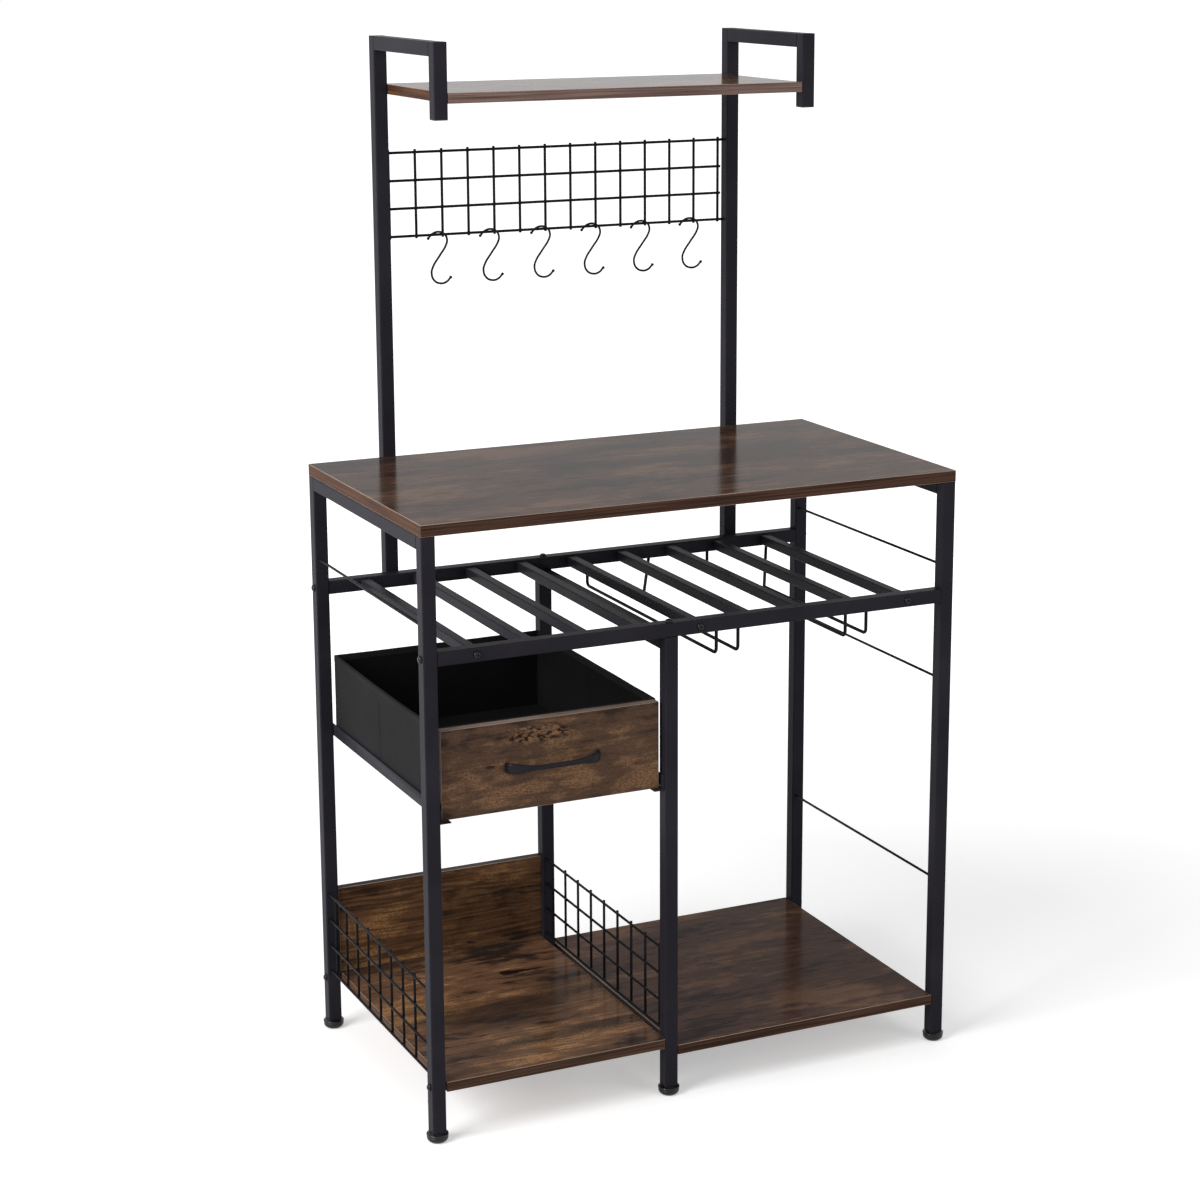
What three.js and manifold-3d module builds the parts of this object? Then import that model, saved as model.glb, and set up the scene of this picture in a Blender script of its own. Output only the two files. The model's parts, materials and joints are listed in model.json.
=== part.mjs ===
// A bakers rack: a black square-tube frame that carries brown wood-look boards. A worktop lies over two end
// frames. Below it are a bottle rack with stemware wires, a fabric drawer and two low shelves. Behind it a
// hutch rises, with a wire grid, S-hooks and a small top shelf. Millimetres, X right, Y back, Z up.
import * as THREE from "three";
import { mergeVertices } from "three/addons/utils/BufferGeometryUtils.js";
import Module from "manifold-3d";

// Driving dimensions of the frame
const rackWidth = 900;
const rackDepth = 500;
const worktopHeight = 961;
const totalHeight = 1631;
const leftBayWidth = 369;
const tubeSize = 22;
const tubeCorner = 2;
const seatGap = 0.3;

// Boards
const worktopThickness = 18;
const shelfThickness = 16;
const leftShelfHeight = 97;
const rightShelfHeight = 83;
const topShelfDrop = 75;
const topShelfDepth = 280;
const backBoardThickness = 15;
const backBoardRise = 147;
const backBoardInset = 1;
const leftShelfSlack = 2.2;

// Round plastic feet
const footDiameter = 34;
const footHeight = 15;
const footBaseDiameter = 24;
const footRimDiameter = 31;
const footCurveHeight = 5;
const footRimHeight = 12;

// Bolt heads
const boltHeadDiameter = 12;
const boltHeadHeight = 4;
const boltRimHeight = 1.5;
const boltCrownDiameter = 7;
const boltRoot = 2;

// Bottle rack under the worktop
const bottleRackDrop = 191;
const slatSize = 16;
const slatCorner = 1.5;
const slatCount = 9;
const slatEndMargin = 62;

// Stemware wires under the bottle rack
const hangerWire = 5;
const hangerBend = 8;
const hangerDrop = 37;
const hangerChannel = 37;
const hangerStartMargin = 81;
const hangerEndMargin = 53;
const hangerFlareRun = 139;
const hangerFlareWidth = 78;
const hangerOverrunShare = 0.1;

// Side wires and side nets
const sideWire = 3.6;
const wireInset = 6;
const wireWeld = 0.4;
const upperWireDrop = 153;
const middleWireDrop = 149;
const lowerWireHeight = 282;
const sideNetLift = 8;
const sideNetRowPitch = 44.7;
const sideNetRows = 4;
const sideNetColumnPitch = 52;
const sideNetColumns = 9;
const sideNetOverrun = 5;

// Drawer and its runners
const drawerFrontGap = 6;
const drawerFrontThickness = 15;
const drawerFrontOverlap = 4;
const drawerFrontHeight = 138;
const drawerFrontSetback = 11;
const drawerBoxGap = 4;
const drawerBackMargin = 22;
const drawerBoxHeight = 134;
const drawerWall = 4;
const drawerFloor = 5;
const runnerSheet = 2;
const runnerBearing = 14;
const runnerRise = 20;
const runnerDrop = 258;
const runnerSetback = 2;
const runnerFootDrop = 9;
const handleSpan = 156;
const handleReach = 27;
const handleThickness = 5;
const handleEdge = 1.2;
const handlePadHeight = 15;
const handleShares = [[0, 1, 0.5], [0.3, 0.98, 0.5], [0.62, 0.9, 0.56], [0.8, 0.6, 0.76], [0.9, 0.15, 0.97],
  [0.96, 0, 0.92], [1, 0, 0.62]];

// Hutch: two uprights with arms and drops
const hutchInset = 127.5;
const armDropLength = 115.4;

// Hook grid between the uprights
const gridWire = 4;
const gridTopDrop = 183.6;
const gridRows = 4;
const gridRowPitch = 44.4;
const gridColumns = 14;
const gridLeftMargin = 3.7;
const gridRightMargin = 9.7;
const gridOverrun = 4.5;
const gridRowOverrun = 2.6;

// S-hooks on the grid's lowest wire
const hookWire = 2.6;
const hookBall = 4.4;
const hookCount = 6;
const hookHeight = 86;
const hookLeadGap = 8;
const hookTurnDegrees = -28;
const hookTopBend = 14.5;
const hookLowBend = 17;
const hookUpperShares = [[-1.2, -0.62], [-0.62, -0.13], [0, 0], [0.6, -0.17], [0.98, -0.78], [0.72, -1.6]];
const hookWaistShare = -0.2;
const hookLowerShares = [[-0.86, 0.5], [-0.86, -0.5], [0, -1], [0.75, -0.78], [1.12, -0.28]];

// Tessellation counts
const cornerSteps = 2;
const bendSteps = 4;
const wireSides = 8;
const hookSides = 6;
const hookSteps = 34;
const handleSteps = 30;
const ballSegments = 8;
const ballRings = 6;
const boltSides = 12;
const footSides = 24;

const wasm = await Module();
wasm.setup();

// Planes and heights that several pieces share
const frontFace = -rackDepth / 2;
const rearFace = rackDepth / 2;
const legRow = rackDepth / 2 - tubeSize / 2;
const railStart = frontFace + tubeSize + seatGap;
const railEnd = rearFace - tubeSize - seatGap;
const leftLegX = -rackWidth / 2 + tubeSize / 2;
const rightLegX = rackWidth / 2 - tubeSize / 2;
const middleLegX = leftLegX + tubeSize + leftBayWidth;
const legBase = footHeight + seatGap;
const legTop = worktopHeight - worktopThickness - seatGap;
const innerLeft = leftLegX + tubeSize / 2;
const innerRight = rightLegX - tubeSize / 2;
const bottleRackHeight = worktopHeight - bottleRackDrop;
const rackRailZ = bottleRackHeight - tubeSize / 2;
const slatReach = innerRight - slatEndMargin;
const slatPitch = (2 * slatReach) / (slatCount - 1);
const middleLegTop = bottleRackHeight - tubeSize - seatGap;
const uprightX = rackWidth / 2 - hutchInset - tubeSize / 2;
const uprightY = rearFace + seatGap + tubeSize / 2;
const armZ = totalHeight - tubeSize / 2;
const dropFrontY = uprightY + tubeSize / 2 - topShelfDepth;
const topShelfHeight = totalHeight - topShelfDrop;
const hutchInner = uprightX - tubeSize / 2;
const gridFirstX = -hutchInner + gridLeftMargin;
const gridLastX = hutchInner - gridRightMargin;
const gridColumnPitch = (gridLastX - gridFirstX) / (gridColumns - 1);
const gridBase = totalHeight - gridTopDrop - (gridRows - 1) * gridRowPitch;
const drawerX = (leftLegX + middleLegX) / 2;
const drawerFaceY = frontFace + drawerFrontSetback;
const drawerBoxFrontY = drawerFaceY + drawerFrontThickness;
const runnerTopZ = bottleRackHeight - runnerDrop;
const drawerBoxBase = runnerTopZ + seatGap;
const drawerFrontBase = runnerTopZ - drawerFrontOverlap;
const drawerFrontWidth = leftBayWidth - 2 * drawerFrontGap;
const drawerBoxWidth = leftBayWidth - 2 * drawerBoxGap;

// Materials
const blackMetal = new THREE.MeshStandardMaterial({ color: 0x25272b, roughness: 0.55, metalness: 0.4 });
const blackPlastic = new THREE.MeshStandardMaterial({ color: 0x191919, roughness: 0.5, metalness: 0 });
const walnutBoard = new THREE.MeshStandardMaterial({ color: 0x4a3227, roughness: 0.45, metalness: 0 });
const rusticBoard = new THREE.MeshStandardMaterial({ color: 0x5e4029, roughness: 0.5, metalness: 0 });
const blackFabric = new THREE.MeshStandardMaterial({ color: 0x1c1d20, roughness: 0.95, metalness: 0 });

// A closed geometry as a solid that can be joined or cut.
function solidOf(geometry) {
  const bare = geometry.index ? geometry.toNonIndexed() : geometry.clone();
  bare.deleteAttribute("normal");
  bare.deleteAttribute("uv");
  const merged = mergeVertices(bare);
  const mesh = new wasm.Mesh({
    numProp: 3,
    vertProperties: merged.attributes.position.array,
    triVerts: new Uint32Array(merged.index.array),
  });
  return new wasm.Manifold(mesh);
}

// A solid back as a geometry.
function geometryOf(solid) {
  const mesh = solid.getMesh();
  const geometry = new THREE.BufferGeometry();
  geometry.setAttribute("position", new THREE.BufferAttribute(mesh.vertProperties, 3));
  geometry.setIndex(new THREE.BufferAttribute(mesh.triVerts, 1));
  geometry.computeVertexNormals();
  return geometry;
}

function joined(geometries) {
  return geometryOf(geometries.map(solidOf).reduce((whole, next) => whole.add(next)));
}

function cut(geometry, tool) {
  return geometryOf(solidOf(geometry).subtract(solidOf(tool)));
}

function piece(name, geometry, material, position = [0, 0, 0], rotation = [0, 0, 0]) {
  const mesh = new THREE.Mesh(geometry, material);
  mesh.name = name;
  mesh.position.set(...position);
  mesh.rotation.set(...rotation);
  return mesh;
}

// A box between two opposite corners.
function boxBetween(low, high) {
  const size = high.map((value, i) => value - low[i]);
  const box = new THREE.BoxGeometry(...size);
  return box.translate(...low.map((value, i) => value + size[i] / 2));
}

// A round-cornered square bar that runs up local Z from zero.
function squareBar(length, side = tubeSize, corner = tubeCorner) {
  const outline = new THREE.Shape();
  const reach = side / 2 - corner;
  const corners = [[reach, reach, 0], [-reach, reach, 1], [-reach, -reach, 2], [reach, -reach, 3]];
  for (const [x, y, quarter] of corners) {
    const start = (quarter * Math.PI) / 2;
    outline.absarc(x, y, corner, start, start + Math.PI / 2, false);
  }
  const options = { depth: length, bevelEnabled: false, curveSegments: cornerSteps };
  return new THREE.ExtrudeGeometry(outline, options);
}

// Rotations that turn local Z to an axis of the rack
const alongX = [0, Math.PI / 2, 0];
const alongY = [-Math.PI / 2, 0, 0];
const alongZ = [0, 0, 0];

// A domed bolt head that stands out of a face along a direction, with its root in the metal.
function boltHead(position, direction) {
  const profile = [
    [0, -boltRoot],
    [boltHeadDiameter / 2, -boltRoot],
    [boltHeadDiameter / 2, boltRimHeight],
    [boltCrownDiameter / 2, boltHeadHeight],
    [0, boltHeadHeight],
  ];
  const head = new THREE.LatheGeometry(profile.map(([r, y]) => new THREE.Vector2(r, y)), boltSides);
  const up = new THREE.Vector3(0, 1, 0);
  const turn = new THREE.Quaternion().setFromUnitVectors(up, new THREE.Vector3(...direction));
  return head.applyQuaternion(turn).translate(...position);
}

// A bar with bolt heads on it; the bolts' places are in the rack's own frame.
function boltedBar(name, length, position, rotation, bolts) {
  const place = new THREE.Object3D();
  place.position.set(...position);
  place.rotation.set(...rotation);
  place.updateMatrixWorld(true);
  const toLocal = place.matrixWorld.clone().invert();
  const heads = bolts.map(([spot, direction]) => boltHead(spot, direction).applyMatrix4(toLocal));
  return piece(name, joined([squareBar(length), ...heads]), blackMetal, position, rotation);
}

// A polygon whose flats lie at the wire's true diameter
function roundSection(diameter, sides) {
  const radius = diameter / 2 / Math.cos(Math.PI / sides);
  const points = [];
  for (let i = 0; i < sides; i++) {
    const angle = ((i + 0.5) / sides) * 2 * Math.PI;
    points.push(new THREE.Vector2(Math.cos(angle) * radius, Math.sin(angle) * radius));
  }
  return new THREE.Shape(points);
}

function straightWire(length, diameter, sides) {
  return new THREE.ExtrudeGeometry(roundSection(diameter, sides), { depth: length, bevelEnabled: false });
}

// A wire through corner points, bent round each inner corner.
function bentWire(points, diameter, bend) {
  const spots = points.map((point) => new THREE.Vector3(...point));
  const route = [spots[0]];
  for (let i = 1; i < spots.length - 1; i++) {
    const back = spots[i - 1].clone().sub(spots[i]).normalize();
    const ahead = spots[i + 1].clone().sub(spots[i]).normalize();
    const opening = back.angleTo(ahead);
    const trim = bend / Math.tan(opening / 2);
    const start = spots[i].clone().addScaledVector(back, trim);
    const end = spots[i].clone().addScaledVector(ahead, trim);
    const arc = new THREE.QuadraticBezierCurve3(start, spots[i], end);
    route.push(...arc.getPoints(bendSteps));
  }
  route.push(spots.at(-1));
  return sweptSection(route, diameter, wireSides);
}

// A round section swept through every point of a route, square to it, with closed ends.
function sweptSection(route, diameter, sides) {
  const last = route.length - 1;
  const heading = (i) => {
    const next = route[Math.min(i + 1, last)];
    const previous = route[Math.max(i - 1, 0)];
    return next.clone().sub(previous).normalize();
  };
  const across = firstAcross(heading(0));
  const rings = route.map((spot, i) => {
    const tangent = heading(i);
    across.addScaledVector(tangent, -across.dot(tangent)).normalize();
    const beside = tangent.clone().cross(across);
    return Array.from({ length: sides }, (_, k) => {
      const angle = ((k + 0.5) / sides) * 2 * Math.PI;
      const point = spot.clone();
      point.addScaledVector(across, (Math.cos(angle) * diameter) / 2);
      return point.addScaledVector(beside, (Math.sin(angle) * diameter) / 2);
    });
  });
  return lofted(rings);
}

// A closed skin over rings of points, each ring turning right-handed about the way ahead.
function lofted(rings) {
  const last = rings.length - 1;
  const sides = rings[0].length;
  const positions = rings.flat().flatMap((point) => [point.x, point.y, point.z]);
  const index = [];
  for (let i = 0; i < last; i++) {
    for (let k = 0; k < sides; k++) {
      const a = i * sides + k;
      const b = i * sides + ((k + 1) % sides);
      index.push(a, b, b + sides, a, b + sides, a + sides);
    }
  }
  for (let k = 1; k < sides - 1; k++) {
    index.push(0, k + 1, k);
    index.push(last * sides, last * sides + k, last * sides + k + 1);
  }
  const geometry = new THREE.BufferGeometry();
  geometry.setAttribute("position", new THREE.Float32BufferAttribute(positions, 3));
  geometry.setIndex(index);
  geometry.computeVertexNormals();
  return geometry;
}

// A direction square to a heading.
function firstAcross(heading) {
  const side = Math.abs(heading.z) < 0.9 ? new THREE.Vector3(0, 0, 1) : new THREE.Vector3(1, 0, 0);
  return side.addScaledVector(heading, -side.dot(heading)).normalize();
}

// The worktop and the shelves
function boards() {
  const leftEdge = innerLeft + leftShelfSlack;
  const middleLeft = middleLegX - tubeSize / 2 - seatGap;
  const middleRight = middleLegX + tubeSize / 2 + seatGap;
  const rightEdge = innerRight - seatGap;
  const topShelfReach = hutchInner - seatGap;
  const board = (name, low, high, material) => piece(name, boxBetween(low, high), material);
  const backBoardBack = rearFace - backBoardInset;
  return [
    board(
      "worktop",
      [-rackWidth / 2, frontFace, worktopHeight - worktopThickness],
      [rackWidth / 2, rearFace, worktopHeight],
      walnutBoard,
    ),
    board(
      "upper_shelf",
      [-topShelfReach, dropFrontY, topShelfHeight - shelfThickness],
      [topShelfReach, dropFrontY + topShelfDepth, topShelfHeight],
      walnutBoard,
    ),
    board(
      "lower_shelf_left",
      [leftEdge, frontFace, leftShelfHeight - shelfThickness],
      [middleLeft, rearFace, leftShelfHeight],
      rusticBoard,
    ),
    board(
      "lower_shelf_right",
      [middleRight, frontFace, rightShelfHeight - shelfThickness],
      [rightEdge, rearFace, rightShelfHeight],
      walnutBoard,
    ),
    board(
      "back_board",
      [leftEdge, backBoardBack - backBoardThickness, leftShelfHeight + seatGap],
      [middleLeft, backBoardBack, leftShelfHeight + backBoardRise],
      rusticBoard,
    ),
  ];
}

// Outer legs carry bolts into the bottle rack's rails and into the low shelf beside them.
function outerLeg(name, x, y, shelfHeight) {
  const outward = Math.sign(x);
  const face = x + (outward * tubeSize) / 2;
  const bolts = [
    [[face, y, rackRailZ], [outward, 0, 0]],
    [[face, y, shelfHeight - shelfThickness / 2], [outward, 0, 0]],
  ];
  return boltedBar(name, legTop - legBase, [x, y, legBase], alongZ, bolts);
}

function legs() {
  const middleLeg = (name, y) =>
    piece(name, squareBar(middleLegTop - legBase), blackMetal, [middleLegX, y, legBase]);
  return [
    outerLeg("leg_front_left", leftLegX, -legRow, leftShelfHeight),
    outerLeg("leg_rear_left", leftLegX, legRow, leftShelfHeight),
    outerLeg("leg_front_right", rightLegX, -legRow, rightShelfHeight),
    outerLeg("leg_rear_right", rightLegX, legRow, rightShelfHeight),
    middleLeg("leg_front_middle", -legRow),
    middleLeg("leg_rear_middle", legRow),
  ];
}

// Front-to-back rails, each between two legs
function crossRails() {
  const rail = (name, x, topZ) => {
    const place = [x, railStart, topZ - tubeSize / 2];
    return piece(name, squareBar(railEnd - railStart), blackMetal, place, alongY);
  };
  return [
    rail("top_rail_left", leftLegX, legTop),
    rail("top_rail_right", rightLegX, legTop),
    rail("top_rail_middle", middleLegX, middleLegTop),
  ];
}

// Two long rails with bolts into the end slats, the middle slat and the middle legs
function rackRails() {
  const left = innerLeft + seatGap;
  const length = innerRight - innerLeft - 2 * seatGap;
  const rail = (name, side) => {
    const y = side * legRow;
    const faceY = y + (side * tubeSize) / 2;
    const slatBolts = [-slatReach, 0, slatReach].map((x) => [[x, faceY, rackRailZ], [0, side, 0]]);
    const legBolt = [[middleLegX, y, bottleRackHeight], [0, 0, 1]];
    return boltedBar(name, length, [left, y, rackRailZ], alongX, [...slatBolts, legBolt]);
  };
  return [rail("rack_rail_front", -1), rail("rack_rail_rear", 1)];
}

// Bottles lie on the slats, neck to the front.
function rackSlats() {
  return Array.from({ length: slatCount }, (_, i) => {
    const x = i * slatPitch - slatReach;
    const bar = squareBar(railEnd - railStart, slatSize, slatCorner);
    return piece("rack_slat_" + (i + 1), bar, blackMetal, [x, railStart, rackRailZ], alongY);
  });
}

// Each pair holds glasses by the foot: a straight wire, and one that flares open at the back.
function stemwareWires() {
  const ceiling = bottleRackHeight - tubeSize - seatGap;
  const run = ceiling - hangerDrop;
  const leftFirst = middleLegX + hangerStartMargin;
  const rightFirst = innerRight - hangerEndMargin - hangerFlareWidth - hangerChannel;
  const wires = [];
  for (const [side, first] of [["left", leftFirst], ["right", rightFirst]]) {
    const straight = [[0, -legRow, ceiling], [0, -legRow, run], [0, legRow, run], [0, legRow, ceiling]];
    const flareStart = legRow - hangerFlareRun;
    const overrun = 1 + hangerOverrunShare;
    const flared = [
      [0, -legRow, ceiling],
      [0, -legRow, run],
      [0, flareStart, run],
      [hangerFlareWidth * overrun, flareStart + hangerFlareRun * overrun, run + hangerDrop * overrun],
    ];
    const aboveCeiling = boxBetween(
      [-hangerFlareWidth, flareStart, ceiling],
      [2 * hangerFlareWidth, rearFace + hangerDrop, ceiling + hangerDrop],
    );
    const flaredWire = cut(bentWire(flared, hangerWire, hangerBend), aboveCeiling);
    const straightName = "stemware_wire_" + side + "_straight";
    const flaredName = "stemware_wire_" + side + "_flared";
    const second = first + hangerChannel;
    wires.push(piece(straightName, bentWire(straight, hangerWire, hangerBend), blackMetal, [first, 0, 0]));
    wires.push(piece(flaredName, flaredWire, blackMetal, [second, 0, 0]));
  }
  return wires;
}

// Thin wires across the end frames, near each frame's left face
function sideWires() {
  const wire = (name, legX, z) => {
    const x = legX - tubeSize / 2 + wireInset;
    const rod = straightWire(railEnd - railStart, sideWire, wireSides);
    return piece(name, rod, blackMetal, [x, railStart, z], alongY);
  };
  return [
    wire("side_wire_left", leftLegX, worktopHeight - upperWireDrop),
    wire("side_wire_right_upper", rightLegX, worktopHeight - upperWireDrop),
    wire("side_wire_right_middle", rightLegX, bottleRackHeight - middleWireDrop),
    wire("side_wire_right_lower", rightLegX, lowerWireHeight),
  ];
}

// A welded net in the plane of a frame: rows run front to back, columns stand behind them.
function sideNet(name, legX) {
  const x = legX - tubeSize / 2 + wireInset;
  const netHeight = (sideNetRows - 1) * sideNetRowPitch;
  const parts = [];
  for (let row = 0; row < sideNetRows; row++) {
    const rod = straightWire(railEnd - railStart, sideWire, wireSides).rotateX(-Math.PI / 2);
    parts.push(rod.translate(0, railStart, row * sideNetRowPitch));
  }
  for (let column = 0; column < sideNetColumns; column++) {
    const y = (column - (sideNetColumns - 1) / 2) * sideNetColumnPitch;
    const rod = straightWire(netHeight + 2 * sideNetOverrun, sideWire, wireSides);
    parts.push(rod.translate(sideWire - wireWeld, y, -sideNetOverrun));
  }
  return piece(name, joined(parts), blackMetal, [x, 0, leftShelfHeight + sideNetLift]);
}

// The grid's outer rows reach the uprights; the inner rows stop at the end columns.
function hookGrid() {
  const inner = hutchInner - seatGap;
  const gridHeight = (gridRows - 1) * gridRowPitch;
  const parts = [];
  for (let row = 0; row < gridRows; row++) {
    const outer = row === 0 || row === gridRows - 1;
    const from = outer ? -inner : gridFirstX - gridRowOverrun;
    const to = outer ? inner : gridLastX + gridRowOverrun;
    const rod = straightWire(to - from, gridWire, wireSides).rotateY(Math.PI / 2);
    parts.push(rod.translate(from, 0, row * gridRowPitch));
  }
  for (let column = 0; column < gridColumns; column++) {
    const rod = straightWire(gridHeight + 2 * gridOverrun, gridWire, wireSides);
    const x = gridFirstX + column * gridColumnPitch;
    parts.push(rod.translate(x, gridWire - wireWeld, -gridOverrun));
  }
  return piece("hook_grid", joined(parts), blackMetal, [0, uprightY, gridBase]);
}

// An S-hook's middle line: its upper bend goes over the lowest grid wire, whose middle is the origin.
function hookCurve() {
  const top = gridWire / 2 + hookWire / 2 + seatGap;
  const lowCentre = top - hookHeight + hookWire + hookLowBend;
  const at = (x, z) => new THREE.Vector3(x, 0, z);
  const upper = hookUpperShares.map(([x, z]) => at(x * hookTopBend, top + z * hookTopBend));
  const waist = at(hookWaistShare * hookLowBend, (top + lowCentre) / 2);
  const lower = hookLowerShares.map(([x, z]) => at(x * hookLowBend, lowCentre + z * hookLowBend));
  return new THREE.CatmullRomCurve3([...upper, waist, ...lower]);
}

function sHooks() {
  const curve = hookCurve();
  const route = curve.getSpacedPoints(hookSteps);
  const balls = [route[0], route.at(-1)].map((tip) =>
    new THREE.SphereGeometry(hookBall / 2, ballSegments, ballRings).translate(...tip),
  );
  const body = joined([sweptSection(route, hookWire, hookSides), ...balls]);
  const turn = THREE.MathUtils.degToRad(hookTurnDegrees);
  return Array.from({ length: hookCount }, (_, i) => {
    const x = gridFirstX + 2 * (i + 1) * gridColumnPitch - hookLeadGap;
    return piece("hook_" + (i + 1), body.clone(), blackMetal, [x, uprightY, gridBase], [0, 0, turn]);
  });
}

// Uprights stand behind the worktop, bolted to its rear edge and to the rack's rear rail.
function hutch() {
  const base = bottleRackHeight - tubeSize;
  const backFace = uprightY + tubeSize / 2;
  const armLength = rearFace - dropFrontY;
  const parts = [];
  for (const [side, x] of [["left", -uprightX], ["right", uprightX]]) {
    const bolts = [
      [[x, backFace, rackRailZ], [0, 1, 0]],
      [[x, backFace, worktopHeight - worktopThickness / 2], [0, 1, 0]],
    ];
    parts.push(boltedBar("upright_" + side, totalHeight - base, [x, uprightY, base], alongZ, bolts));
    const arm = squareBar(armLength).rotateX(-Math.PI / 2);
    const drop = squareBar(armDropLength).translate(0, tubeSize / 2, tubeSize / 2 - armDropLength);
    parts.push(piece("hutch_arm_" + side, joined([arm, drop]), blackMetal, [x, dropFrontY, armZ]));
  }
  return parts;
}

// A round foot with a curved base under each leg
function feet() {
  const profile = [
    [0, 0],
    [footBaseDiameter / 2, 0],
    [footDiameter / 2, footCurveHeight],
    [footDiameter / 2, footRimHeight],
    [footRimDiameter / 2, footHeight],
    [0, footHeight],
  ];
  const shape = new THREE.LatheGeometry(profile.map(([r, y]) => new THREE.Vector2(r, y)), footSides);
  const places = [["left", leftLegX], ["middle", middleLegX], ["right", rightLegX]];
  return places.flatMap(([side, x]) => [
    piece("foot_front_" + side, shape.clone(), blackPlastic, [x, -legRow, 0], [Math.PI / 2, 0, 0]),
    piece("foot_rear_" + side, shape.clone(), blackPlastic, [x, legRow, 0], [Math.PI / 2, 0, 0]),
  ]);
}

// A folded runner on the inner faces of two legs: the box slides on its shelf, and its front foot is a tab.
function drawerRunner(name, legX, inward) {
  const runnerShelf = drawerBoxGap + runnerBearing - seatGap;
  const from = frontFace + runnerSetback;
  const to = rearFace - runnerSetback;
  const shelfStart = drawerBoxFrontY + seatGap;
  const shelfBase = runnerTopZ - runnerSheet;
  const footBase = shelfBase - runnerFootDrop;
  const slab = (width, y0, y1, z0, z1) => {
    const low = [Math.min(0, inward * width), y0, z0];
    const high = [Math.max(0, inward * width), y1, z1];
    return boxBetween(low, high);
  };
  const footEnd = from + tubeSize - runnerSetback;
  const parts = [
    slab(runnerSheet, from, to, shelfBase, shelfBase + runnerRise),
    slab(runnerShelf, shelfStart, to, shelfBase, runnerTopZ),
    slab(runnerSheet, from, footEnd, footBase, shelfBase + runnerSheet),
    slab(runnerShelf, from, footEnd, footBase, footBase + runnerSheet),
  ];
  const face = legX + inward * (tubeSize / 2 + seatGap);
  return piece(name, joined(parts), blackMetal, [face, 0, 0]);
}

// The drawer's stiffened fabric box, open on top
function drawerBox() {
  const half = drawerBoxWidth / 2;
  const front = drawerBoxFrontY + seatGap;
  const back = rearFace - drawerBackMargin;
  const top = drawerBoxBase + drawerBoxHeight;
  const outer = boxBetween([-half, front, drawerBoxBase], [half, back, top]);
  const hollow = boxBetween(
    [-half + drawerWall, front + drawerWall, drawerBoxBase + drawerFloor],
    [half - drawerWall, back - drawerWall, top + drawerWall],
  );
  return piece("drawer_box", cut(outer, hollow), blackFabric, [drawerX, 0, 0]);
}

function drawerFront() {
  const half = drawerFrontWidth / 2;
  const low = [-half, drawerFaceY, drawerFrontBase];
  const high = [half, drawerBoxFrontY, drawerFrontBase + drawerFrontHeight];
  return piece("drawer_front", boxBetween(low, high), rusticBoard, [drawerX, 0, 0]);
}

// A bow handle: a strap that bows out from the drawer front and widens into a flat pad at each end
function drawerHandle() {
  const half = handleSpan / 2;
  const reach = handleReach - handleThickness;
  const spot = ([x, y, height], side) =>
    new THREE.Vector3(side * x * half, -handleThickness / 2 - y * reach, (height * handlePadHeight) / 2);
  const left = handleShares.slice(1).reverse().map((share) => spot(share, -1));
  const right = handleShares.map((share) => spot(share, 1));
  const curve = new THREE.CatmullRomCurve3([...left, ...right], false, "centripetal");
  const stations = curve.getSpacedPoints(handleSteps);
  const rings = stations.map((station, i) => {
    const next = stations[Math.min(i + 1, handleSteps)];
    const previous = stations[Math.max(i - 1, 0)];
    const along = new THREE.Vector2(next.x - previous.x, next.y - previous.y).normalize();
    const tall = station.z;
    const thick = handleThickness / 2;
    const outline = [
      [thick, tall - handleEdge], [thick - handleEdge, tall],
      [-thick + handleEdge, tall], [-thick, tall - handleEdge],
      [-thick, -tall + handleEdge], [-thick + handleEdge, -tall],
      [thick - handleEdge, -tall], [thick, -tall + handleEdge],
    ];
    return outline.map(([out, z]) => new THREE.Vector3(station.x - along.y * out, station.y + along.x * out, z));
  });
  const middleZ = drawerFrontBase + drawerFrontHeight / 2;
  return piece("drawer_handle", lofted(rings), blackMetal, [drawerX, drawerFaceY - seatGap, middleZ]);
}

// The whole rack, with its depth centred on the origin
const rack = new THREE.Group();
const frontMost = drawerFaceY - seatGap - handleReach;
const rearMost = uprightY + tubeSize / 2 + boltHeadHeight;
rack.position.y = -(frontMost + rearMost) / 2;
rack.add(
  ...boards(),
  ...legs(),
  ...crossRails(),
  ...rackRails(),
  ...rackSlats(),
  ...stemwareWires(),
  ...sideWires(),
  sideNet("side_net_left", leftLegX),
  sideNet("side_net_middle", middleLegX),
  ...hutch(),
  hookGrid(),
  ...sHooks(),
  ...feet(),
  drawerRunner("drawer_runner_left", leftLegX, 1),
  drawerRunner("drawer_runner_right", middleLegX, -1),
  drawerBox(),
  drawerFront(),
  drawerHandle(),
);

export default rack;
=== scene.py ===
import json
from math import pi, radians, tan

import bmesh
import bpy
from mathutils import Matrix, Vector

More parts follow.
